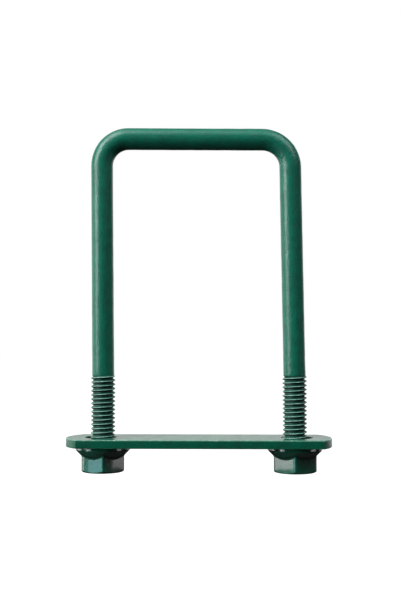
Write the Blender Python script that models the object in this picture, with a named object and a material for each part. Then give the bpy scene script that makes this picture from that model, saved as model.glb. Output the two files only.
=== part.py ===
"""Square-bend U-bolt with a clamp plate and two hexagon flange nuts, which holds a fitting to a rectangular post.

+Z runs up the legs, +X runs along the clamp plate and +Y runs across it. The origin lies on the surface that
the nuts stand on, midway between the legs. All sizes are in metres.
"""

import math

import bmesh
import bpy
from mathutils import Vector

MM = 0.001

# Rod: one round bar bent to a square U
ROD_DIAMETER = 5.1 * MM
INNER_WIDTH = 40.5 * MM  # between the legs
CLEAR_DEPTH = 69.2 * MM  # from the plate's top face to the crown's underside, at rest
BEND_INNER_RADIUS = 4.0 * MM
ROD_END_RECESS = 0.4 * MM  # how far the rod's ends stop short of the nuts' feet

# Thread: right-hand, with a 60 degree form
THREAD_DIAMETER = 5.9 * MM  # over the crests
THREAD_PITCH = 1.0 * MM
THREAD_LENGTH = 22.1 * MM
THREAD_RUNOUT = 2.0 * MM  # the stretch in which the thread fades into the shank
ROD_END_CHAMFER = 0.15 * MM  # how far the end faces lie inside the thread's roots

# Clamp plate: a flat strip with a clearance hole for each leg
PLATE_THICKNESS = 2.0 * MM
PLATE_WIDTH = 15.0 * MM
PLATE_OVERHANG = 8.25 * MM  # from each hole's centre to the tip of the plate's end
LEFT_END_RADIUS = 10.2 * MM  # of the shallow arc that ends the plate
RIGHT_END_RADIUS = 12.9 * MM
PLATE_EDGE_ROUND = 0.2 * MM
HOLE_OUTWARD_SHIFT = 0.5 * MM  # the holes lie a little further apart than the legs

# Flange nuts
NUT_HEIGHT = 6.0 * MM
NUT_ACROSS_FLATS = 10.0 * MM
NUT_FOOT_DIAMETER = 9.5 * MM  # the flat circle that the chamfer leaves at the nut's foot
FLANGE_DIAMETER = 13.0 * MM
FLANGE_RIM = 0.6 * MM
LEFT_NUT_TURN = math.radians(7.5)
RIGHT_NUT_TURN = math.radians(-2.5)

# Clearances
HOLE_CLEARANCE = 0.85 * MM  # round the thread, on the radius
THREAD_CLEARANCE = 0.12 * MM  # between the threads of rod and nut, on the radius
NUT_GAP = 0.1 * MM  # between each nut's flange and the plate
COUNTERSINK = 0.2 * MM  # past the roots of the nut's thread, at both of its faces

# Angles and shares that the thread's form and a nut's form set
THREAD_DEPTH_SHARE = 0.575  # of the pitch
CREST_FLAT_SHARE = 0.125  # of the pitch
FLANK_TANGENT = math.tan(math.radians(30.0))
FLANGE_CONE_TANGENT = math.tan(math.radians(45.0))
FOOT_CHAMFER_TANGENT = math.tan(math.radians(30.0))

# Mesh fineness
ROD_FACETS = 16
NUT_FACETS = 24  # a multiple of 6, so that the hexagon's corners are vertices
HOLE_FACETS = 40
BEND_STEPS = 9
END_STEPS = 12
EDGE_STEPS = 2
MERGE = 0.001 * MM
SMOOTH_ANGLE = math.radians(32.0)

# Worked out from the sizes above
ROD_RADIUS = ROD_DIAMETER / 2
LEG_X = INNER_WIDTH / 2 + ROD_RADIUS
HOLE_X = LEG_X + HOLE_OUTWARD_SHIFT
CREST_RADIUS = THREAD_DIAMETER / 2
ROOT_RADIUS = CREST_RADIUS - THREAD_DEPTH_SHARE * THREAD_PITCH
HOLE_RADIUS = CREST_RADIUS + HOLE_CLEARANCE
COUNTERSINK_RADIUS = CREST_RADIUS + THREAD_CLEARANCE + COUNTERSINK
BEND_RADIUS = BEND_INNER_RADIUS + ROD_RADIUS
THREAD_TOP = ROD_END_RECESS + THREAD_LENGTH
PLATE_BOTTOM = NUT_HEIGHT + NUT_GAP
PLATE_TOP = PLATE_BOTTOM + PLATE_THICKNESS
CROWN_Z = PLATE_TOP + CLEAR_DEPTH + ROD_RADIUS


def clear_scene():
    """Removes every object, so that the scene holds only the model."""
    for obj in list(bpy.data.objects):
        bpy.data.objects.remove(obj, do_unlink=True)


def make_material(name, colour, roughness, metallic):
    """Makes a Principled material from a base colour, a roughness and a metallic value."""
    material = bpy.data.materials.new(name)
    material.use_nodes = True
    shader = material.node_tree.nodes["Principled BSDF"]
    shader.inputs["Base Color"].default_value = (*colour, 1.0)
    shader.inputs["Roughness"].default_value = roughness
    shader.inputs["Metallic"].default_value = metallic
    return material


def make_object(name, bm, location, material):
    """Turns a bmesh into a smooth-shaded object that stands at its place."""
    bmesh.ops.remove_doubles(bm, verts=bm.verts, dist=MERGE)
    bmesh.ops.recalc_face_normals(bm, faces=bm.faces)
    mesh = bpy.data.meshes.new(name)
    bm.to_mesh(mesh)
    bm.free()
    mesh.shade_smooth()
    mesh.set_sharp_from_angle(angle=SMOOTH_ANGLE)
    mesh.materials.append(material)
    obj = bpy.data.objects.new(name, mesh)
    obj.location = location
    bpy.context.scene.collection.objects.link(obj)
    return obj


def polar(radius, angle, z, centre_x=0.0):
    """Gives the point at a radius, an angle and a height about a vertical axis."""
    return Vector((centre_x + radius * math.cos(angle), radius * math.sin(angle), z))


def level_ring(radius, z, facets, centre_x=0.0):
    """Gives a level ring of points about a vertical axis."""
    return [polar(radius, 2 * math.pi * step / facets, z, centre_x) for step in range(facets)]


def skin(bm, lines):
    """Joins each line of points to the next with faces, leaving out any face that has no area."""
    rows = [[bm.verts.new(point) for point in line] for line in lines]
    for row, above in zip(rows, rows[1:]):
        for square in zip(row, above, above[1:], row[1:]):
            corners = []
            for vert in square:
                if all((vert.co - kept.co).length > MERGE for kept in corners):
                    corners.append(vert)
            if len(corners) > 2:
                bm.faces.new(corners)


def skin_rings(bm, rings):
    """Joins each closed ring of points to the next."""
    skin(bm, [ring + ring[:1] for ring in rings])


def thread_heights(turn_share, bottom, top):
    """Lists the edges of one column of a thread, each a height and whether it is on the crest.

    The list runs from below bottom to above top. turn_share is how far round the column stands, from 0 to 1.
    """
    flank = THREAD_DEPTH_SHARE * THREAD_PITCH * FLANK_TANGENT
    crest = CREST_FLAT_SHARE * THREAD_PITCH
    half_root = THREAD_PITCH / 2 - flank - crest / 2
    marks = [(half_root, False), (half_root + flank, True)]
    marks += [(half_root + flank + crest, True), (THREAD_PITCH - half_root, False)]
    first_turn = math.floor(bottom / THREAD_PITCH) - 1
    last_turn = math.ceil(top / THREAD_PITCH) + 1
    heights = []
    for turn in range(first_turn - 1, last_turn + 1):
        start = (turn + turn_share) * THREAD_PITCH
        heights += [(start + rise, on_crest) for rise, on_crest in marks]
    return heights


def skin_thread(bm, centre_x, bottom, top, facets, radius_at):
    """Skins a right-hand thread about a vertical axis, cut off level at both ends.

    radius_at gives the radius for a height and for crest or root. Every column repeats after one turn, so the
    last column lies on the first one and the two merge.
    """
    columns = []
    for step in range(facets + 1):
        column = []
        for height, on_crest in thread_heights(step / facets, bottom, top):
            z = min(max(height, bottom), top)
            column.append(polar(radius_at(z, on_crest), 2 * math.pi * step / facets, z, centre_x))
        columns.append(column)
    skin(bm, columns)


def rod_thread_radius(z, on_crest):
    """Gives the radius of the rod's thread, chamfered at the rod's end and faded out into the shank."""
    full = CREST_RADIUS if on_crest else ROOT_RADIUS
    strength = min(1.0, (THREAD_TOP - z) / THREAD_RUNOUT)
    faded = ROD_RADIUS + (full - ROD_RADIUS) * strength
    return min(faded, ROOT_RADIUS - ROD_END_CHAMFER + z - ROD_END_RECESS)


def nut_thread_radius(z, on_crest):
    """Gives the radius of a nut's bore: the rod's thread with its clearance, countersunk at both faces."""
    full = THREAD_CLEARANCE + (CREST_RADIUS if on_crest else ROOT_RADIUS)
    return max(full, COUNTERSINK_RADIUS - min(z, NUT_HEIGHT - z))


def bend_ring(side, turn):
    """Gives a ring of rod points on one bend, where turn is 0 at the leg and a right angle at the crown."""
    centre = Vector((side * (LEG_X - BEND_RADIUS), 0.0, CROWN_Z - BEND_RADIUS))
    outward = Vector((side * math.cos(turn), 0.0, math.sin(turn)))
    ring = []
    for step in range(ROD_FACETS):
        angle = 2 * math.pi * step / ROD_FACETS
        reach = BEND_RADIUS + ROD_RADIUS * math.cos(angle)
        ring.append(centre + outward * reach + Vector((0.0, ROD_RADIUS * math.sin(angle), 0.0)))
    return ring


def leg_ring(side):
    """Gives the ring where a leg's thread meets its shank, started at the leg's outer side as a bend's ring is."""
    ring = bend_ring(side, 0.0)
    return [Vector((point.x, point.y, THREAD_TOP)) for point in ring]


def build_rod(material):
    """Builds the rod: its shank, bends and crown in one skin, then each leg's thread and end face."""
    bm = bmesh.new()
    turns = [math.pi / 2 * step / BEND_STEPS for step in range(BEND_STEPS + 1)]
    rings = [leg_ring(1)] + [bend_ring(1, turn) for turn in turns]
    rings += [bend_ring(-1, turn) for turn in reversed(turns)] + [leg_ring(-1)]
    skin_rings(bm, rings)
    for side in (-1, 1):
        skin_thread(bm, side * LEG_X, ROD_END_RECESS, THREAD_TOP, ROD_FACETS, rod_thread_radius)
        tip = level_ring(ROOT_RADIUS - ROD_END_CHAMFER, ROD_END_RECESS, ROD_FACETS, side * LEG_X)
        bm.faces.new([bm.verts.new(point) for point in tip])
    return make_object("threaded_u_rod", bm, (0.0, 0.0, 0.0), material)


def end_arc(side, radius):
    """Gives the arc of one end of the plate, anticlockwise from one long edge to the other."""
    half_angle = math.asin(PLATE_WIDTH / 2 / radius)
    centre = side * (HOLE_X + PLATE_OVERHANG - radius)
    arc = []
    for step in range(END_STEPS + 1):
        angle = half_angle * (2 * step / END_STEPS - 1)
        arc.append((centre + side * radius * math.cos(angle), side * radius * math.sin(angle)))
    return arc


def plate_outline():
    """Gives the plate's outline, anticlockwise: two long straight edges that the end arcs join."""
    return end_arc(1, RIGHT_END_RADIUS) + end_arc(-1, LEFT_END_RADIUS)


def make_hole_cutter(side):
    """Makes the hidden round bar that cuts one leg's hole through the plate."""
    bm = bmesh.new()
    bottom = level_ring(HOLE_RADIUS, -PLATE_THICKNESS, HOLE_FACETS)
    top = level_ring(HOLE_RADIUS, 2 * PLATE_THICKNESS, HOLE_FACETS)
    skin_rings(bm, [bottom, top])
    for ring in (bottom, top):
        bm.faces.new([bm.verts.new(point) for point in ring])
    cutter = make_object(f"hole_cutter_{side:+d}", bm, (side * HOLE_X, 0.0, PLATE_BOTTOM), None)
    cutter.hide_render = True
    cutter.display_type = "WIRE"
    return cutter


def build_plate(material):
    """Builds the clamp plate: an extruded outline with softened edges and two holes."""
    bm = bmesh.new()
    face = bm.faces.new([bm.verts.new((x, y, 0.0)) for x, y in plate_outline()])
    raised = bmesh.ops.extrude_face_region(bm, geom=[face])["geom"]
    lifted = [item for item in raised if isinstance(item, bmesh.types.BMVert)]
    bmesh.ops.translate(bm, verts=lifted, vec=(0.0, 0.0, PLATE_THICKNESS))
    plate = make_object("clamp_plate", bm, (0.0, 0.0, PLATE_BOTTOM), material)
    edge_round = plate.modifiers.new("edge_round", "BEVEL")
    edge_round.width = PLATE_EDGE_ROUND
    edge_round.segments = EDGE_STEPS
    edge_round.limit_method = "ANGLE"
    edge_round.angle_limit = math.radians(60.0)
    for side in (-1, 1):
        hole = plate.modifiers.new(f"hole_{side:+d}", "BOOLEAN")
        hole.operation = "DIFFERENCE"
        hole.object = make_hole_cutter(side)
    return plate


def hexagon_radius(step):
    """Gives the nut's hexagon's radius on one facet's line, where step 0 is a corner."""
    angle = 2 * math.pi * step / NUT_FACETS
    return NUT_ACROSS_FLATS / 2 / math.cos(angle % (math.pi / 3) - math.pi / 6)


def build_nut(name, side, turn, material):
    """Builds a flange nut about its leg's axis, with one corner turned by an angle from -Y."""
    bm = bmesh.new()
    steps = range(NUT_FACETS)
    angles = [turn - math.pi / 2 + 2 * math.pi * step / NUT_FACETS for step in steps]
    flat_radii = [hexagon_radius(step) for step in steps]
    foot_radius = NUT_FOOT_DIAMETER / 2
    flange_radius = FLANGE_DIAMETER / 2
    cone_foot = NUT_HEIGHT - FLANGE_RIM
    chamfer_rises = [(radius - foot_radius) * FOOT_CHAMFER_TANGENT for radius in flat_radii]
    cone_drops = [(flange_radius - radius) * FLANGE_CONE_TANGENT for radius in flat_radii]
    outlines = (
        [(foot_radius, 0.0) for _ in steps],
        list(zip(flat_radii, chamfer_rises)),
        [(radius, cone_foot - drop) for radius, drop in zip(flat_radii, cone_drops)],
        [(flange_radius, cone_foot) for _ in steps],
        [(flange_radius, NUT_HEIGHT) for _ in steps],
    )
    rings = [[polar(radius, angle, z) for (radius, z), angle in zip(ring, angles)] for ring in outlines]
    # the bore's end rings keep the thread's own facets, started at the same one as the hexagon
    first = round((turn - math.pi / 2) / (2 * math.pi) * NUT_FACETS) % NUT_FACETS
    mouths = [level_ring(COUNTERSINK_RADIUS, z, NUT_FACETS) for z in (0.0, NUT_HEIGHT)]
    foot_mouth, flange_mouth = [ring[first:] + ring[:first] for ring in mouths]
    skin_rings(bm, [foot_mouth] + rings + [flange_mouth])
    skin_thread(bm, 0.0, 0.0, NUT_HEIGHT, NUT_FACETS, nut_thread_radius)
    return make_object(name, bm, (side * LEG_X, 0.0, 0.0), material)


def main():
    """Builds the four pieces."""
    clear_scene()
    rod_coat = make_material("rod_green_coat", (0.012, 0.130, 0.085), 0.35, 0.0)
    plate_coat = make_material("plate_green_coat", (0.008, 0.105, 0.065), 0.40, 0.0)
    nut_coat = make_material("nut_green_coat", (0.004, 0.040, 0.028), 0.18, 0.0)
    build_rod(rod_coat)
    build_plate(plate_coat)
    build_nut("left_flange_nut", -1, LEFT_NUT_TURN, nut_coat)
    build_nut("right_flange_nut", 1, RIGHT_NUT_TURN, nut_coat)


main()
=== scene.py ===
"""Looks of a square-bend U-bolt clamp: a threaded rod, a clamp plate and two flange nuts, all coated green.

The pieces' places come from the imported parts' boxes, and the sizes written here are the fine details that
those parts leave out. Lengths are in metres, +Z runs up the legs and +X along the plate.
"""

import logging
import math
from dataclasses import dataclass
from enum import Enum
from functools import partial
from typing import Callable

import bmesh
import bpy
from mathutils import Matrix, Vector, noise


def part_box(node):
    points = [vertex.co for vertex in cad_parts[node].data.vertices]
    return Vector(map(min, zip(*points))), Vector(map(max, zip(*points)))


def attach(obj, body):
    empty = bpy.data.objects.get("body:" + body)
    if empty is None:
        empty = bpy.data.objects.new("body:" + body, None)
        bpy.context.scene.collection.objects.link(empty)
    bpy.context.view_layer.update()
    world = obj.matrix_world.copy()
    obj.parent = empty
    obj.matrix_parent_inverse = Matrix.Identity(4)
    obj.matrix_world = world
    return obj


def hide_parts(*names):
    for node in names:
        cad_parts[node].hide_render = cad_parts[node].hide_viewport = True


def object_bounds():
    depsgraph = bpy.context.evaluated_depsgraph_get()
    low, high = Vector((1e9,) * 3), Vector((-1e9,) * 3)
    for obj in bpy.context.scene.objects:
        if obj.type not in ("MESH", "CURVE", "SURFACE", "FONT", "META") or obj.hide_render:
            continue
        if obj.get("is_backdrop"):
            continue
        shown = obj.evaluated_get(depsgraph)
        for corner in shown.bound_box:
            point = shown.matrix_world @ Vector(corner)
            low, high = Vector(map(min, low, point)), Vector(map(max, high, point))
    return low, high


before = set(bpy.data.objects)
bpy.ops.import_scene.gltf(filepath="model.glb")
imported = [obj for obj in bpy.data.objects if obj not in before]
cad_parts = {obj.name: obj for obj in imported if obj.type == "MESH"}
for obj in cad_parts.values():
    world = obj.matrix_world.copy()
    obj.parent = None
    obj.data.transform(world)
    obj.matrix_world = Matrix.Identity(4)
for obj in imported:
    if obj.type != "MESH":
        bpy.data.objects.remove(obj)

Colour = tuple[float, float, float]
Mark = tuple[Vector, float]
"""A point of a surface and its relief: above 0 on an edge or a crest, below 0 in a hollow."""

MM = 0.001
MERGE = 0.0005 * MM
FULL_TURN = 2 * math.pi
RIGHT_ANGLE = math.pi / 2
HALF_SECTOR = math.pi / 6
WHITE: Colour = (1.0, 1.0, 1.0)
UP = Vector((0.0, 0.0, 1.0))
DRIP_OFFSET = Vector((7.0, 3.0, 1.0))
log = logging.getLogger("u_bolt_clamp")


def clamp(value: float, low: float = 0.0, high: float = 1.0) -> float:
    """Limits a value to a range."""
    return min(max(value, low), high)


def smooth(value: float) -> float:
    """Eases a value from 0 to 1, with level ends."""
    eased = clamp(value)
    return eased * eased * (3 - 2 * eased)


def polar(radius: float, angle: float, z: float, centre_x: float = 0.0) -> Vector:
    """Gives the point at a radius, an angle and a height about an upright axis."""
    return Vector((centre_x + radius * math.cos(angle), radius * math.sin(angle), z))


def rounded_path(corners: list[tuple[float, float, float]], steps: int) -> list[tuple[float, float]]:
    """Rounds the inner corners of a line drawn in a plane.

    Args:
        corners: Each corner's two coordinates and the length that its rounding takes from both sides.
        steps: How many pieces each rounding has.

    Returns:
        The line's points, as many for each corner as for any other.
    """
    path = []
    last = len(corners) - 1
    for index, (across, up, reach) in enumerate(corners):
        if index in (0, last) or reach == 0.0:
            path.append((across, up))
            continue
        here = Vector((across, up))
        before = Vector(corners[index - 1][:2]) - here
        after = Vector(corners[index + 1][:2]) - here
        start = here + before.normalized() * min(reach, before.length / 2)
        end = here + after.normalized() * min(reach, after.length / 2)
        for step in range(steps + 1):
            share = step / steps
            point = start * (1 - share) ** 2 + here * (2 * share * (1 - share)) + end * share**2
            path.append((point.x, point.y))
    return path


class Side(Enum):
    """The two legs, named as seen from the front."""

    LEFT = -1
    RIGHT = 1

    def thread(self) -> "Thread":
        """Gives the thread that this side's leg and nut share."""
        return Thread(start=0.10 * MM if self is Side.LEFT else -0.05 * MM)

    def leg_x(self) -> float:
        """Gives the place of this side's leg along the plate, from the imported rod's box.

        Returns:
            The place of the leg's axis.
        """
        low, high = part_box("threaded_u_rod")
        return self.value * ((high.x - low.x) / 2 - self.thread().crest)


class Skin:
    """A mesh in the making, which keeps each point's relief for its finish."""

    def __init__(self) -> None:
        """Starts with an empty mesh."""
        self.mesh = bmesh.new()
        self.relief = self.mesh.verts.layers.float.new("relief")

    def point(self, mark: Mark) -> bmesh.types.BMVert:
        """Adds one point with its relief.

        Args:
            mark: The point's place and relief.

        Returns:
            The new point.
        """
        place, relief = mark
        vert = self.mesh.verts.new(place)
        vert[self.relief] = relief
        return vert

    def sheet(self, lines: list[list[Mark]]) -> None:
        """Joins each line of points to the next, leaving out any face that has no area.

        Args:
            lines: Lines with the same number of points.
        """
        rows = [[self.point(mark) for mark in line] for line in lines]
        for row, above in zip(rows, rows[1:]):
            for square in zip(row, above, above[1:], row[1:]):
                corners = []
                for vert in square:
                    if all((vert.co - kept.co).length > MERGE for kept in corners):
                        corners.append(vert)
                if len(corners) > 2:
                    self.mesh.faces.new(corners)

    def tube(self, rings: list[list[Mark]]) -> None:
        """Joins each closed ring of points to the next."""
        self.sheet([ring + ring[:1] for ring in rings])

    def cap(self, ring: list[Mark]) -> None:
        """Closes a ring of points with one face."""
        self.mesh.faces.new([self.point(mark) for mark in ring])

    def fill(self, height: float) -> None:
        """Fills the level face between the open rings that lie at one height.

        Args:
            height: The height of the rings.
        """
        bmesh.ops.remove_doubles(self.mesh, verts=self.mesh.verts, dist=MERGE)
        rim = []
        for edge in self.mesh.edges:
            if edge.is_boundary and all(abs(vert.co.z - height) < MERGE for vert in edge.verts):
                rim.append(edge)
        bmesh.ops.triangle_fill(self.mesh, edges=rim, use_beauty=True, use_dissolve=False)

    def piece(self, name: str, sharp_angle: float) -> bpy.types.Object:
        """Turns the mesh into a smooth-shaded object.

        Args:
            name: The object's name.
            sharp_angle: The angle in degrees past which an edge stays sharp.

        Returns:
            The new object.
        """
        bmesh.ops.remove_doubles(self.mesh, verts=self.mesh.verts, dist=MERGE)
        bmesh.ops.recalc_face_normals(self.mesh, faces=self.mesh.faces)
        data = bpy.data.meshes.new(name)
        self.mesh.to_mesh(data)
        self.mesh.free()
        data.shade_smooth()
        data.set_sharp_from_angle(angle=math.radians(sharp_angle))
        made = bpy.data.objects.new(name, data)
        bpy.context.scene.collection.objects.link(made)
        return made


class Signal:
    """A shader socket that takes part in Python expressions, each of which adds its Math nodes."""

    def __init__(self, tree: bpy.types.NodeTree, socket: bpy.types.NodeSocket) -> None:
        """Wraps a socket of a node tree."""
        self.tree = tree
        self.socket = socket

    def math(self, operation: str, *values: "Signal | float") -> "Signal":
        """Adds a Math node.

        Args:
            operation: The node's operation.
            values: Its inputs, as signals or numbers.

        Returns:
            The node's result.
        """
        node = self.tree.nodes.new("ShaderNodeMath")
        node.operation = operation
        for value, socket in zip(values, node.inputs):
            if isinstance(value, Signal):
                self.tree.links.new(value.socket, socket)
            else:
                socket.default_value = value
        return Signal(self.tree, node.outputs[0])

    def __add__(self, other: "Signal | float") -> "Signal":
        """Adds."""
        return self.math("ADD", self, other)

    def __radd__(self, other: float) -> "Signal":
        """Adds to a number."""
        return self.math("ADD", other, self)

    def __sub__(self, other: "Signal | float") -> "Signal":
        """Subtracts."""
        return self.math("SUBTRACT", self, other)

    def __rsub__(self, other: float) -> "Signal":
        """Subtracts from a number."""
        return self.math("SUBTRACT", other, self)

    def __mul__(self, other: "Signal | float") -> "Signal":
        """Multiplies."""
        return self.math("MULTIPLY", self, other)

    def __rmul__(self, other: float) -> "Signal":
        """Multiplies a number."""
        return self.math("MULTIPLY", other, self)

    def __truediv__(self, other: "Signal | float") -> "Signal":
        """Divides."""
        return self.math("DIVIDE", self, other)

    def limited(self) -> "Signal":
        """Keeps the value between 0 and 1."""
        return self.math("MINIMUM", self.math("MAXIMUM", self, 0.0), 1.0)

    def eased(self, low: float, high: float) -> "Signal":
        """Rises smoothly from 0 at one value to 1 at another."""
        share = ((self - low) / (high - low)).limited()
        return share * share * (3.0 - 2.0 * share)


class NodeKit:
    """Writes the nodes of a material or of the world."""

    def __init__(self, tree: bpy.types.NodeTree) -> None:
        """Starts on an emptied node tree."""
        self.tree = tree
        self.tree.nodes.clear()

    def node(self, kind: str, settings: dict, inputs: dict, output: int | str = 0) -> Signal:
        """Adds any node.

        Args:
            kind: The node's type, without its ShaderNode prefix.
            settings: The node's own properties.
            inputs: Values or signals by the name or the number of the socket.
            output: The socket that is wanted from it.

        Returns:
            That socket.
        """
        made = self.tree.nodes.new("ShaderNode" + kind)
        for name, value in settings.items():
            setattr(made, name, value)
        for name, value in inputs.items():
            if isinstance(value, Signal):
                self.tree.links.new(value.socket, made.inputs[name])
            else:
                made.inputs[name].default_value = value
        return Signal(self.tree, made.outputs[output])

    def finish(self, kind: str, surface: Signal) -> None:
        """Ends the tree in its output node, of a material or of a world."""
        made = self.tree.nodes.new("ShaderNodeOutput" + kind)
        self.tree.links.new(surface.socket, made.inputs["Surface"])

    def blend(self, share: Signal, first: Signal | Colour, second: Signal | Colour) -> Signal:
        """Mixes two colours.

        Args:
            share: How much of the second colour shows, from 0 to 1.
            first: The colour at 0.
            second: The colour at 1.

        Returns:
            The mixed colour.
        """
        slots = {0: share}
        for number, colour in ((6, first), (7, second)):
            slots[number] = colour if isinstance(colour, Signal) else (*colour, 1.0)
        return self.node("Mix", {"data_type": "RGBA"}, slots, 2)

    def grain(self, place: Signal, size: float, detail: float = 2.0) -> Signal:
        """Adds a noise whose lumps have a given size in metres, with values about 0.5."""
        slots = {"Vector": place, "Scale": 1.0 / size, "Detail": detail, "Roughness": 0.55}
        return self.node("TexNoise", {"noise_dimensions": "3D"}, slots, "Fac")


@dataclass(frozen=True)
class GreenCoat:
    """A green coat on steel, from a satin powder coat to a glossy lacquer."""

    name: str
    body: Colour
    deep: Colour
    # Painted shade: the darker colour that hollows are blended towards.
    hollow_shade: Colour
    pale: Colour
    roughness: float
    specular: float
    peel_size: float
    peel_depth: float
    # Strength of the pale colour on edges and crests, which is partly wear and partly painted highlight.
    wear_and_highlight: float
    dust: float
    chip_level: float
    lacquer: float = 0.0
    lacquer_roughness: float = 0.1
    lacquer_ior: float = 1.5
    cloud_size: float = 2.6 * MM
    speck_size: float = 0.16 * MM
    chip_size: float = 0.55 * MM
    chip_edge: float = 0.03
    bare: Colour = (0.42, 0.50, 0.46)
    dust_grain: tuple[float, float] = (0.57, 0.72)
    # How deep into a hollow the painted shade reaches its full strength.
    hollow_shade_full: float = 0.8
    deep_share: float = 0.75
    cloud_tint: float = 2.4
    speck_tint: float = 0.9
    # Patchiness of the pale edges, which are partly wear and partly painted highlight.
    wear_highlight_middle: float = 0.35
    wear_highlight_patches: float = 1.6
    cloud_rough: float = 0.16
    speck_rough: float = 0.36
    hollow_rough: float = 0.15
    chip_rough: float = 0.25
    speck_height: float = 0.18
    chip_depth: float = 0.5

    def material(self) -> bpy.types.Material:
        """Makes the coat's material.

        Returns:
            A material with the coat's colour, orange-peel surface, chips, pale edges (wear and painted
            highlight) and painted shade in hollows.
        """
        made = bpy.data.materials.new(self.name)
        made.use_nodes = True
        kit = NodeKit(made.node_tree)
        place = kit.node("TexCoord", {}, {}, "Object")
        relief = kit.node("Attribute", {"attribute_name": "relief"}, {}, "Fac")
        cloud = kit.grain(place, self.cloud_size)
        peel = kit.grain(place, self.peel_size)
        speck = kit.grain(place, self.speck_size, 3.0)
        edge = relief.limited()
        hollow = (relief * -1.0).limited()
        chip_grain = kit.grain(place, self.chip_size, 1.0)
        chip = chip_grain.eased(self.chip_level, self.chip_level + self.chip_edge) * edge

        depth = (0.5 + self.cloud_tint * (cloud - 0.5) + self.speck_tint * (speck - 0.5)).limited()
        colour = kit.blend(self.deep_share * depth, self.body, self.deep)
        # Painted shade: hollows such as thread roots and creases are blended towards a darker colour.
        colour = kit.blend(hollow.eased(0.0, self.hollow_shade_full), colour, self.hollow_shade)
        dust = speck.eased(*self.dust_grain) * self.dust
        colour = kit.blend(dust, colour, self.pale)
        # Pale edges and crests, in patches: partly wear and partly painted highlight.
        patches = (self.wear_highlight_middle + self.wear_highlight_patches * (peel - self.wear_highlight_middle)).limited()
        worn_and_highlight = edge * patches * self.wear_and_highlight
        colour = kit.blend(worn_and_highlight.limited(), colour, self.pale)
        colour = kit.blend(chip, colour, self.bare)

        rough = self.roughness + self.cloud_rough * (cloud - 0.5) + self.speck_rough * (speck - 0.5)
        rough = rough + self.hollow_rough * hollow + self.chip_rough * chip
        height = peel + self.speck_height * speck - self.chip_depth * chip
        bump = kit.node("Bump", {}, {"Strength": 1.0, "Distance": self.peel_depth, "Height": height})
        surface = kit.node(
            "BsdfPrincipled",
            {},
            {
                "Base Color": colour,
                "Roughness": rough.limited(),
                "Specular IOR Level": self.specular,
                "Coat Weight": self.lacquer,
                "Coat Roughness": self.lacquer_roughness,
                "Coat IOR": self.lacquer_ior,
                "Normal": bump,
            },
        )
        kit.finish("Material", surface)
        return made


def dress(made: bpy.types.Object, coat: GreenCoat, body: str, node: str) -> bpy.types.Object:
    """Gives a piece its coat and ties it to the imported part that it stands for.

    Args:
        made: The piece.
        coat: Its finish.
        body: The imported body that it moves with.
        node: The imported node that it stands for.

    Returns:
        The piece.
    """
    made.data.materials.append(coat.material())
    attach(made, body)
    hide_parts(node)
    log.info("%s: %d faces, on %s", made.name, len(made.data.polygons), body)
    return made


@dataclass
class Thread:
    """A right-hand thread with rounded crests, as one leg and its nut share it."""

    start: float
    crest: float = 2.95 * MM
    depth: float = 0.575 * MM
    pitch: float = 1.0 * MM
    samples: int = 16
    crest_share: float = 0.05
    root_share: float = 0.80
    softness: float = 0.35

    @property
    def root(self) -> float:
        """Gives the radius at the roots."""
        return self.crest - self.depth

    def rise(self, phase: float) -> float:
        """Tells how far a point stands from root to crest.

        Args:
            phase: The point's place in the pitch, from 0 to 1, with the crest at 0.5.

        Returns:
            0 at the root and 1 at the crest.
        """
        off_crest = abs(2 * phase - 1)
        flank = clamp((self.root_share - off_crest) / (self.root_share - self.crest_share))
        return flank + (smooth(flank) - flank) * self.softness

    def column(self, turn_share: float, bottom: float, top: float) -> list[tuple[float, float]]:
        """Lists the points up one line of the thread.

        Args:
            turn_share: How far round the axis the line stands, from 0 to 1.
            bottom: The lowest height that is wanted.
            top: The highest height that is wanted.

        Returns:
            Heights within the limits, each with its rise from root to crest.
        """
        first = math.floor(bottom / self.pitch) - 2
        last = math.ceil(top / self.pitch) + 1
        points = []
        for step in range((last - first) * self.samples):
            phase = step % self.samples / self.samples
            height = (first + step / self.samples + turn_share) * self.pitch + self.start
            points.append((clamp(height, bottom, top), self.rise(phase)))
        return points

    def wrap(
        self,
        skin: Skin,
        centre_x: float,
        limits: tuple[float, float],
        angles: list[float],
        mark_at: Callable[[float, float, float], tuple[float, float]],
    ) -> None:
        """Skins the thread about an upright axis.

        Args:
            skin: The mesh that takes the thread.
            centre_x: The axis's place.
            limits: The lowest and the highest height.
            angles: The lines' angles, once round.
            mark_at: Gives the radius and the relief for an angle, a height and a rise.
        """
        lines = []
        for turn, angle in [(0, angle) for angle in angles] + [(1, angles[0])]:
            line = []
            for z, rise in self.column(angle / FULL_TURN + turn, *limits):
                radius, relief = mark_at(angle, z, rise)
                line.append((polar(radius, angle, z, centre_x), relief))
            lines.append(line)
        skin.sheet(lines)


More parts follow.
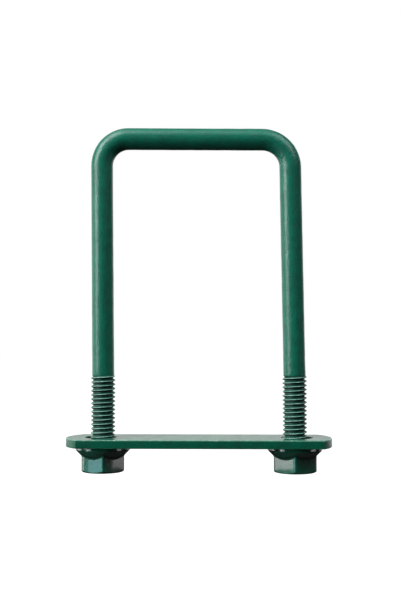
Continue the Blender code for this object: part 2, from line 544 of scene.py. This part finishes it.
@dataclass
class ThreadedRod:
    """The rod: two threaded legs, two bends and the crown between them."""

    radius: float = 2.64 * MM
    bend_inner_radius: float = 4.0 * MM
    thread_length: float = 22.4 * MM
    runout: float = 0.4 * MM
    left_lean: float = 0.6
    right_lean: float = 0.9
    crown_fall: float = 0.45 * MM
    end_chamfer: float = 0.5 * MM
    facets: int = 72
    bend_steps: int = 24
    shank_steps: int = 40
    fade_rings: int = 3
    coat_wave: float = 0.028 * MM
    wave_length: float = 3.1 * MM
    ripple_length: float = 0.9 * MM
    ripple_share: float = 0.5
    lump_height: float = 0.022 * MM
    lump_size: float = 0.8 * MM
    lump_sink: float = 0.6
    drip_height: float = 0.075 * MM
    drip_size: float = 0.55 * MM
    drip_threshold: float = 0.35
    drip_bottom: float = 12.0 * MM
    drip_fade: float = 6.0 * MM
    root_coat: float = 0.4
    crest_sharpness: int = 7
    chamfer_slope: float = 0.8
    sharp_angle: float = 38.0

    def __post_init__(self) -> None:
        """Reads the rod's place from its packed box."""
        low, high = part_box("threaded_u_rod")
        self.end_z = low.z
        self.thread_top = self.end_z + self.thread_length
        self.leg_x = Side.RIGHT.leg_x()
        self.crown_z = high.z - self.radius
        self.bend_radius = self.bend_inner_radius + self.radius
        self.angles = [FULL_TURN * step / self.facets for step in range(self.facets)]

    def wave(self, point: Vector) -> float:
        """Tells how much the coat thickens or thins at a point."""
        ripple = self.ripple_share * noise.noise(point / self.ripple_length)
        return self.coat_wave * (noise.noise(point / self.wave_length) + ripple)

    def lean(self, point: Vector) -> Vector:
        """Moves a point above the threads to where the slightly sprung legs and crown carry it.

        Args:
            point: The point on an upright rod.

        Returns:
            The point on the leaning rod.
        """
        rise = max(0.0, point.z - self.thread_top)
        share = clamp(0.5 + 0.5 * point.x / self.leg_x)
        degrees = self.left_lean + (self.right_lean - self.left_lean) * share
        fall = self.crown_fall * share * rise / (self.crown_z - self.thread_top)
        return point - Vector((rise * math.tan(math.radians(degrees)), 0.0, fall))

    def ring(self, centre: Vector, outward: Vector, fade: float = 1.0) -> list[Mark]:
        """Draws one ring of the shank.

        Args:
            centre: The ring's middle.
            outward: The direction away from the middle of the bend, in the rod's plane.
            fade: The share of the coat's waviness that shows.

        Returns:
            The ring's points.
        """
        marks = []
        for angle in self.angles:
            side = outward * math.cos(angle) + Vector((0.0, math.sin(angle), 0.0))
            point = centre + side * self.radius
            swell = (self.wave(point) - self.coat_wave) * fade
            marks.append((self.lean(point + side * swell), 0.0))
        return marks

    def leg_rings(self, side: Side) -> list[list[Mark]]:
        """Draws a leg's plain stretch, from its thread up to its bend.

        Args:
            side: The leg's side.

        Returns:
            The stretch's rings.
        """
        outward = Vector((side.value, 0.0, 0.0))
        bend_z = self.crown_z - self.bend_radius
        centre_x = side.leg_x()
        rings = []
        for step in range(self.shank_steps):
            z = self.thread_top + (bend_z - self.thread_top) * step / self.shank_steps
            centre = Vector((centre_x, 0.0, z))
            rings.append(self.ring(centre, outward, smooth(step / self.fade_rings)))
        return rings

    def bend_rings(self, side: Side) -> list[list[Mark]]:
        """Draws one bend, from its leg to the crown.

        Args:
            side: The bend's side.

        Returns:
            The bend's rings.
        """
        reach = side.value * (self.leg_x - self.bend_radius)
        middle = Vector((reach, 0.0, self.crown_z - self.bend_radius))
        rings = []
        for step in range(self.bend_steps + 1):
            turn = RIGHT_ANGLE * step / self.bend_steps
            outward = Vector((side.value * math.cos(turn), 0.0, math.sin(turn)))
            rings.append(self.ring(middle + outward * self.bend_radius, outward))
        return rings

    def crown_rings(self) -> list[list[Mark]]:
        """Draws the straight crown between the two bends, from right to left.

        Returns:
            The crown's rings.
        """
        reach = self.leg_x - self.bend_radius
        rings = []
        for step in range(1, self.shank_steps):
            centre = Vector((reach * (1 - 2 * step / self.shank_steps), 0.0, self.crown_z))
            rings.append(self.ring(centre, UP))
        return rings

    def thread_mark(
        self, thread: Thread, centre_x: float, angle: float, z: float, rise: float
    ) -> tuple[float, float]:
        """Gives the thread's surface at one point, with the coat's lumps on it.

        Args:
            thread: The leg's thread.
            centre_x: The leg's axis.
            angle: How far round the leg the point stands.
            z: Its height.
            rise: How far it stands from root to crest.

        Returns:
            The radius and the relief.
        """
        strength = smooth((self.thread_top - z) / self.runout)
        place = polar(thread.crest, angle, z, centre_x)
        lump = self.lump_height * (noise.noise(place / self.lump_size) - self.lump_sink)
        drip = max(0.0, noise.noise(place / self.drip_size + DRIP_OFFSET) - self.drip_threshold)
        drip *= self.drip_height * smooth((z - self.drip_bottom) / self.drip_fade)
        on_root = self.root_coat + (1 - self.root_coat) * rise
        full = thread.root + thread.depth * rise + (lump + drip) * on_root
        radius = self.radius + (full - self.radius) * strength
        end = thread.root - self.end_chamfer + (z - self.end_z) * self.chamfer_slope
        # The relief gives the thread's roots the painted shade of hollows, and its crests the pale colour
        # that is partly wear and partly painted highlight.
        return min(radius, end), (2 * rise**self.crest_sharpness - 1) * strength

    def build(self, coat: GreenCoat) -> bpy.types.Object:
        """Builds the rod in one skin.

        Args:
            coat: The rod's finish.

        Returns:
            The rod.
        """
        skin = Skin()
        right = self.leg_rings(Side.RIGHT) + self.bend_rings(Side.RIGHT)
        left = self.leg_rings(Side.LEFT) + self.bend_rings(Side.LEFT)
        skin.tube(right + self.crown_rings() + left[::-1])
        for side in Side:
            centre_x = side.leg_x()
            thread = side.thread()
            mark_at = partial(self.thread_mark, thread, centre_x)
            thread.wrap(skin, centre_x, (self.end_z, self.thread_top), self.angles, mark_at)
            end_radius = thread.root - self.end_chamfer
            skin.cap([(polar(end_radius, angle, self.end_z, centre_x), 0.0) for angle in self.angles])
        made = skin.piece("u_rod", self.sharp_angle)
        return dress(made, coat, "u_bolt", "threaded_u_rod")


@dataclass
class ClampPlate:
    """The clamp plate: a sheared strip with shallow arcs for ends and a hole for each leg."""

    hole_clearance: float = 0.85 * MM
    hole_outward_shift: float = 0.5 * MM
    left_end_radius: float = 10.2 * MM
    right_end_radius: float = 12.9 * MM
    upper_round: float = 0.28 * MM
    lower_round: float = 0.16 * MM
    flat_margin: float = 0.05 * MM
    # Reach and strength of the pale top and bottom rims, which are partly wear and partly painted
    # highlight.
    top_wear_highlight_reach: float = 1.2
    bottom_wear_highlight: float = 0.5
    end_steps: int = 28
    side_steps: int = 60
    hole_facets: int = 72
    round_steps: int = 4
    sharp_angle: float = 40.0

    def __post_init__(self) -> None:
        """Reads the plate's place from its packed box."""
        low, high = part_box("clamp_plate")
        self.tip_x = high.x
        self.half_width = high.y
        self.bottom, self.top = low.z, high.z

    def end_arc(self, side: Side, inset: float) -> list[tuple[float, float]]:
        """Draws one end, anticlockwise.

        Args:
            side: The end's side.
            inset: How far in from the plate's outline it lies.

        Returns:
            The end's points.
        """
        radius = self.right_end_radius if side is Side.RIGHT else self.left_end_radius
        centre = side.value * (self.tip_x - radius)
        half_angle = math.asin((self.half_width - inset) / (radius - inset))
        arc = []
        for step in range(self.end_steps + 1):
            angle = half_angle * (2 * step / self.end_steps - 1)
            across = side.value * (radius - inset) * math.cos(angle)
            arc.append((centre + across, side.value * (radius - inset) * math.sin(angle)))
        return arc

    def outline(self, inset: float) -> list[tuple[float, float]]:
        """Draws the whole outline, anticlockwise, with points along the straight sides.

        Args:
            inset: How far in from the plate's outline it lies.

        Returns:
            The outline's points.
        """
        right, left = self.end_arc(Side.RIGHT, inset), self.end_arc(Side.LEFT, inset)
        line = list(right)
        for start, end, rest in ((right[-1], left[0], left), (left[-1], right[0], [])):
            for step in range(1, self.side_steps):
                share = step / self.side_steps
                line.append((start[0] + (end[0] - start[0]) * share, start[1]))
            line += rest
        return line

    def wall(self) -> list[tuple[float, float, float]]:
        """Lists the plate's edge from bottom to top.

        Returns:
            How far in from the outline, the height and the relief of each point.
        """
        corners = [
            (self.lower_round + self.flat_margin, self.bottom, 0.0),
            (0.0, self.bottom, self.lower_round),
            (0.0, self.top, self.upper_round),
            (self.upper_round + self.flat_margin, self.top, 0.0),
        ]
        path = rounded_path(corners, self.round_steps)
        marks = []
        for inset, z in path:
            # Pale rims along the top and bottom edges, partly wear and partly painted highlight.
            near_top = clamp(1 - (self.top - z) / self.upper_round)
            near_top *= clamp(self.top_wear_highlight_reach - inset / self.upper_round)
            near_bottom = clamp(1 - (z - self.bottom) / self.lower_round) * self.bottom_wear_highlight
            marks.append((inset, z, max(near_top, near_bottom)))
        return marks

    def hole_rings(self, side: Side) -> list[list[Mark]]:
        """Draws the wall of one hole, with the same roundings as the plate's edge.

        Args:
            side: The hole's side.

        Returns:
            The wall's rings.
        """
        centre_x = side.leg_x() + side.value * self.hole_outward_shift
        radius = side.thread().crest + self.hole_clearance
        angles = [FULL_TURN * step / self.hole_facets for step in range(self.hole_facets)]
        rings = []
        for inset, z, relief in self.wall():
            rings.append([(polar(radius + inset, angle, z, centre_x), relief) for angle in angles])
        return rings

    def build(self, coat: GreenCoat) -> bpy.types.Object:
        """Builds the plate from its edge, its two holes and the two level faces between them.

        Args:
            coat: The plate's finish.

        Returns:
            The plate.
        """
        skin = Skin()
        edge = []
        for inset, z, relief in self.wall():
            edge.append([(Vector((x, y, z)), relief) for x, y in self.outline(inset)])
        skin.tube(edge)
        for side in Side:
            skin.tube(self.hole_rings(side))
        skin.fill(self.bottom)
        skin.fill(self.top)
        made = skin.piece("clamp_strip", self.sharp_angle)
        return dress(made, coat, "clamp_plate", "clamp_plate")


@dataclass
class FlangeNut:
    """A hexagon nut with its flange made on, foot down."""

    side: Side
    turn_degrees: float
    across_flats: float = 10.0 * MM
    foot_radius: float = 4.75 * MM
    flange_radius: float = 6.5 * MM
    rim_height: float = 0.80 * MM
    corner_round: float = 0.45 * MM
    chamfer_angle: float = 30.0
    foot_land: float = 0.25 * MM
    foot_round: float = 0.12 * MM
    chamfer_round: float = 0.16 * MM
    neck_round: float = 0.55 * MM
    cone_round: float = 0.2 * MM
    rim_round: float = 0.18 * MM
    rim_land: float = 0.4 * MM
    # Pale bands at the foot, the flange's rim and the hexagon's corners, partly wear and partly painted
    # highlight.
    foot_wear_highlight_reach: float = 0.45 * MM
    foot_wear_highlight: float = 0.7
    rim_wear_highlight_reach: float = 0.3 * MM
    rim_wear_highlight_width: float = 0.5 * MM
    # Painted shade in the crease between the hexagon and the flange's cone.
    neck_shade_reach: float = 0.5 * MM
    neck_shade_width: float = 0.4 * MM
    ridge_wear_highlight: float = 0.8
    ridge_wear_highlight_width: float = 1.6
    side_margin: float = 0.02 * MM
    thread_clearance: float = 0.12 * MM
    countersink: float = 0.2 * MM
    corner_steps: int = 8
    flat_steps: int = 12
    round_steps: int = 5
    sharp_angle: float = 30.0

    def __post_init__(self) -> None:
        """Reads the nut's place from its packed box."""
        self.prefix = self.side.name.lower()
        self.node = f"{self.prefix}_flange_nut"
        low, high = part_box(self.node)
        self.bottom, self.top = low.z, high.z
        self.centre_x = self.side.leg_x()
        self.thread = self.side.thread()
        self.mouth = self.thread.crest + self.thread_clearance + self.countersink

    def corner_arc(self) -> tuple[float, float]:
        """Works out the rounding of the hexagon's corners.

        Returns:
            How far out its centre lies, and half the angle that it takes of the hexagon.
        """
        centre = (self.across_flats / 2 - self.corner_round) / math.cos(HALF_SECTOR)
        reach = self.corner_round * math.sin(HALF_SECTOR)
        return centre, math.atan2(reach, centre + self.corner_round * math.cos(HALF_SECTOR))

    def hexagon(self, off_corner: float) -> float:
        """Gives the hexagon's radius in one direction.

        Args:
            off_corner: The direction's angle from the nearest corner.

        Returns:
            The radius.
        """
        centre, half_angle = self.corner_arc()
        if abs(off_corner) < half_angle:
            across = centre * math.sin(off_corner)
            return centre * math.cos(off_corner) + math.sqrt(self.corner_round**2 - across**2)
        return self.across_flats / 2 / math.cos(HALF_SECTOR - abs(off_corner))

    def spokes(self) -> list[tuple[float, float]]:
        """Lists the lines round the nut, close together at its corners.

        Returns:
            Each line's angle, rising from 0 to a full turn, and its angle from the nearest corner.
        """
        half_angle = self.corner_arc()[1]
        sector = 2 * HALF_SECTOR
        offs = [half_angle * (2 * step / self.corner_steps - 1) for step in range(self.corner_steps + 1)]
        gap = sector - 2 * half_angle
        offs += [half_angle + gap * step / self.flat_steps for step in range(1, self.flat_steps)]
        front = math.radians(self.turn_degrees) - RIGHT_ANGLE
        lines = []
        for corner in range(6):
            for off in offs:
                angle = (front + corner * sector + off) % FULL_TURN
                lines.append((angle, off - sector if off > sector / 2 else off))
        return sorted(lines)

    def profile(self, hexagon: float) -> list[tuple[float, float, float]]:
        """Draws the nut's outside from foot to bearing face along one line.

        Args:
            hexagon: The hexagon's radius there.

        Returns:
            Each point's radius, height and relief.
        """
        chamfer = (hexagon - self.foot_radius) * math.tan(math.radians(self.chamfer_angle))
        rim_z = self.top - self.rim_height
        neck_z = rim_z - (self.flange_radius - hexagon)
        corners = [
            (self.mouth, self.bottom, 0.0),
            (self.foot_radius - self.foot_land, self.bottom, 0.0),
            (self.foot_radius, self.bottom, self.foot_round),
            (hexagon, self.bottom + chamfer, self.chamfer_round),
            (hexagon, neck_z, self.neck_round),
            (self.flange_radius, rim_z, self.cone_round),
            (self.flange_radius, self.top, self.rim_round),
            (self.flange_radius - self.rim_land, self.top, 0.0),
            (self.mouth, self.top, 0.0),
        ]
        marks = []
        for radius, z in rounded_path(corners, self.round_steps):
            # Pale bands at the foot chamfer and the flange's rim, partly wear and partly painted highlight.
            foot = clamp(1 - abs(z - self.bottom - chamfer / 2) / self.foot_wear_highlight_reach)
            foot *= self.foot_wear_highlight * (radius > self.mouth)
            rim = clamp(1 - abs(z - rim_z) / self.rim_wear_highlight_reach)
            rim *= radius > self.flange_radius - self.rim_wear_highlight_width
            # Painted shade: the crease between the hexagon and the flange's cone takes the dark colour of
            # hollows.
            neck = clamp(1 - abs(z - neck_z) / self.neck_shade_reach)
            neck *= radius < hexagon + self.neck_shade_width
            marks.append((radius, z, max(foot, rim) - neck))
        return marks

    def bore_mark(self, _angle: float, z: float, rise: float) -> tuple[float, float]:
        """Gives the threaded bore's surface at one point, countersunk at both faces.

        Args:
            _angle: Not needed, since the bore is the same all round.
            z: The point's height.
            rise: How far it stands from root to crest.

        Returns:
            The radius and the relief.
        """
        radius = self.thread.root + self.thread.depth * rise + self.thread_clearance
        # The bore's grooves take the painted shade of hollows, and its crests the pale colour that is
        # partly wear and partly painted highlight.
        return max(radius, self.mouth - min(z - self.bottom, self.top - z)), 1 - 2 * rise

    def build(self, coat: GreenCoat) -> bpy.types.Object:
        """Builds the nut: its outside and then its threaded bore.

        Args:
            coat: The nut's finish.

        Returns:
            The nut.
        """
        skin = Skin()
        spokes = self.spokes()
        lines = []
        # Pale ridges along the hexagon's corners, partly wear and partly painted highlight.
        ridge_half = self.ridge_wear_highlight_width * self.corner_arc()[1]
        for angle, off_corner in spokes + spokes[:1]:
            hexagon = self.hexagon(off_corner)
            ridge = self.ridge_wear_highlight * clamp(1 - abs(off_corner) / ridge_half)
            line = []
            for radius, z, relief in self.profile(hexagon):
                on_side = abs(radius - hexagon) < self.side_margin
                marked = clamp(relief + ridge * on_side, -1.0, 1.0)
                line.append((polar(radius, angle, z, self.centre_x), marked))
            lines.append(line)
        skin.sheet(lines)
        angles = [angle for angle, off_corner in spokes]
        self.thread.wrap(skin, self.centre_x, (self.bottom, self.top), angles, self.bore_mark)
        made = skin.piece(f"{self.prefix}_nut_body", self.sharp_angle)
        return dress(made, coat, f"{self.prefix}_nut", self.node)


@dataclass(frozen=True)
class Panel:
    """A soft rectangular light that faces the clamp."""

    name: str
    azimuth: float
    elevation: float
    distance: float
    width: float
    height: float
    brightness: float
    colour: Colour
    lights_coat: bool = True

    def build(self, target: Vector) -> None:
        """Hangs the light so that it faces a point.

        Args:
            target: The point.
        """
        around, up = math.radians(self.azimuth), math.radians(self.elevation)
        away = Vector((math.sin(around) * math.cos(up), -math.cos(around) * math.cos(up), math.sin(up)))
        data = bpy.data.lights.new(self.name, "AREA")
        data.shape = "RECTANGLE"
        data.size, data.size_y = self.width, self.height
        data.energy = self.brightness * math.pi * self.width * self.height
        data.color = self.colour
        lamp = bpy.data.objects.new(self.name, data)
        lamp.location = target + away * self.distance
        lamp.rotation_mode = "QUATERNION"
        lamp.rotation_quaternion = away.to_track_quat("Z", "Y")
        lamp.visible_camera = False
        lamp.visible_diffuse = self.lights_coat
        bpy.context.scene.collection.objects.link(lamp)


@dataclass
class Studio:
    """The pale floor, the bright surroundings, the lights and the camera."""

    camera_aside: float = 5.84 * MM
    camera_distance: float = 224.1 * MM
    camera_height: float = 30.18 * MM
    pitch_degrees: float = 2.67
    yaw_degrees: float = -1.38
    sensor_millimetres: float = 36.0
    lens_millimetres: float = 56.1744
    floor_reach: float = 3.0
    floor_drop: float = 21.0 * MM
    floor_grey: float = 0.85
    floor_glow: float = 1.25
    floor_glow_share: float = 0.80
    light_all_round: float = 0.012
    light_behind: float = 1.25
    light_above: float = 0.04
    light_below: float = 0.02

    def build(self) -> None:
        """Sets up everything round the clamp."""
        low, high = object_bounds()
        self.build_world()
        self.build_floor(low.z - self.floor_drop)
        for panel in self.panels():
            panel.build((low + high) / 2)
        self.build_camera()

    def panels(self) -> list[Panel]:
        """Lists the lights and the cards that the coats mirror.

        Returns:
            The panels.
        """
        pale_blue = (0.86, 0.98, 1.0)
        cool = (0.45, 0.88, 1.0)
        # Name, azimuth, elevation, distance, width, height, brightness and colour.
        return [
            Panel("left_strip", -63.0, 21.0, 0.60, 0.26, 0.50, 10.0, WHITE),
            Panel("left_key", -60.0, 56.0, 0.62, 0.36, 0.36, 7.2, WHITE),
            Panel("right_fill", 60.0, 50.0, 0.62, 0.40, 0.40, 4.3, pale_blue),
            Panel("overhead_panel", -10.0, 80.0, 0.55, 0.50, 0.40, 0.8, WHITE),
            Panel("left_back_card", -108.0, 0.0, 0.60, 0.30, 0.30, 1.6, WHITE, False),
            Panel("left_white_card", -62.0, -10.0, 0.60, 0.10, 0.12, 2.7, WHITE, False),
            Panel("left_cool_card", -51.0, -10.0, 0.60, 0.09, 0.12, 2.0, cool, False),
            Panel("right_card", 79.0, -10.0, 0.60, 0.24, 0.12, 1.1, WHITE, False),
        ]

    def build_world(self) -> None:
        """Makes surroundings that look white, and light the clamp mostly from behind."""
        world = bpy.data.worlds.new("surroundings")
        world.use_nodes = True
        bpy.context.scene.world = world
        kit = NodeKit(world.node_tree)
        towards = kit.node("TexCoord", {}, {}, "Generated")
        behind = kit.node("SeparateXYZ", {}, {"Vector": towards}, "Y").eased(0.35, 0.9)
        height = kit.node("SeparateXYZ", {}, {"Vector": towards}, "Z")
        low_band = height.eased(-0.25, -0.05) * (1.0 - 0.8 * height.eased(0.15, 0.6))
        from_above = self.light_above * height.eased(0.3, 0.95)
        from_below = self.light_below * (1.0 - height.eased(-0.9, -0.3))
        strength = self.light_all_round + self.light_behind * behind * low_band + from_above + from_below
        white = (*WHITE, 1.0)
        lighting = kit.node("Background", {}, {"Color": white, "Strength": strength})
        plain = kit.node("Background", {}, {"Color": white, "Strength": 1.0})
        seen = kit.node("LightPath", {}, {}, "Is Camera Ray")
        kit.finish("World", kit.node("MixShader", {}, {0: seen, 1: lighting, 2: plain}))

    def build_floor(self, height: float) -> None:
        """Lays the pale floor, below the lowest place that the nuts come down to.

        Args:
            height: The floor's height.
        """
        floor = Skin()
        reach = self.floor_reach
        corners = ((-reach, -reach), (reach, -reach), (reach, reach), (-reach, reach))
        floor.cap([(Vector((x, y, height)), 0.0) for x, y in corners])
        made = floor.piece("studio_floor", 30.0)
        made.visible_glossy = False
        made.visible_diffuse = False
        made.visible_shadow = False
        paint = bpy.data.materials.new("floor_paint")
        paint.use_nodes = True
        kit = NodeKit(paint.node_tree)
        grey = self.floor_grey
        lit = kit.node("BsdfDiffuse", {}, {"Color": (grey, grey, grey, 1.0)})
        glow = kit.node("Emission", {}, {"Color": (*WHITE, 1.0), "Strength": self.floor_glow})
        kit.finish("Material", kit.node("MixShader", {}, {0: self.floor_glow_share, 1: lit, 2: glow}))
        made.data.materials.append(paint)
        made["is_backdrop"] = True

    def build_camera(self) -> None:
        """Places the camera in front, a little below the clamp's middle and looking slightly up."""
        pitch, yaw = math.radians(self.pitch_degrees), math.radians(self.yaw_degrees)
        level = math.cos(pitch)
        forward = Vector((math.sin(yaw) * level, math.cos(yaw) * level, math.sin(pitch)))
        right = Vector((math.cos(yaw), -math.sin(yaw), 0.0))
        data = bpy.data.cameras.new("camera")
        data.sensor_width = self.sensor_millimetres
        data.lens = self.lens_millimetres
        data.clip_start, data.clip_end = 0.01, 20.0
        camera = bpy.data.objects.new("camera", data)
        place = Vector((self.camera_aside, -self.camera_distance, self.camera_height))
        turned = Matrix((right, right.cross(forward), -forward)).transposed().to_4x4()
        camera.matrix_world = Matrix.Translation(place) @ turned
        bpy.context.scene.collection.objects.link(camera)
        bpy.context.scene.camera = camera
        bpy.context.scene.view_settings.view_transform = "Standard"


# In each coat, the dark colour for hollows is painted shade, and the pale colour on edges and crests is
# partly wear and partly painted highlight.
ROD_COAT = GreenCoat(
    name="moss_green_powder_coat",
    body=(0.003, 0.146, 0.094),
    deep=(0.001, 0.090, 0.056),
    hollow_shade=(0.0003, 0.050, 0.033),
    pale=(0.55, 0.88, 0.76),
    roughness=0.34,
    specular=0.46,
    peel_size=0.55 * MM,
    peel_depth=0.085 * MM,
    wear_and_highlight=1.6,
    dust=0.13,
    chip_level=0.74,
)
PLATE_COAT = GreenCoat(
    name="dark_green_powder_coat",
    body=(0.0005, 0.098, 0.055),
    deep=(0.0002, 0.062, 0.033),
    hollow_shade=(0.001, 0.040, 0.022),
    pale=(0.22, 0.46, 0.35),
    roughness=0.32,
    specular=0.45,
    peel_size=0.5 * MM,
    peel_depth=0.050 * MM,
    wear_and_highlight=1.1,
    dust=0.22,
    chip_level=0.64,
)
NUT_COAT = GreenCoat(
    name="bottle_green_lacquer",
    body=(0.0002, 0.150, 0.085),
    deep=(0.0001, 0.100, 0.058),
    hollow_shade=(0.0002, 0.036, 0.024),
    pale=(0.05, 0.20, 0.16),
    roughness=0.24,
    specular=0.6,
    peel_size=0.7 * MM,
    peel_depth=0.045 * MM,
    wear_and_highlight=0.6,
    dust=0.05,
    chip_level=0.75,
    lacquer=1.0,
    lacquer_roughness=0.05,
    lacquer_ior=1.8,
)


def main() -> None:
    """Builds the studio and the clamp's four pieces."""
    logging.basicConfig(level=logging.INFO, format="%(message)s")
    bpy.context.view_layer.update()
    Studio().build()
    ThreadedRod().build(ROD_COAT)
    ClampPlate().build(PLATE_COAT)
    FlangeNut(Side.LEFT, turn_degrees=7.5).build(NUT_COAT)
    FlangeNut(Side.RIGHT, turn_degrees=-2.5).build(NUT_COAT)


if __name__ == "__main__":
    main()
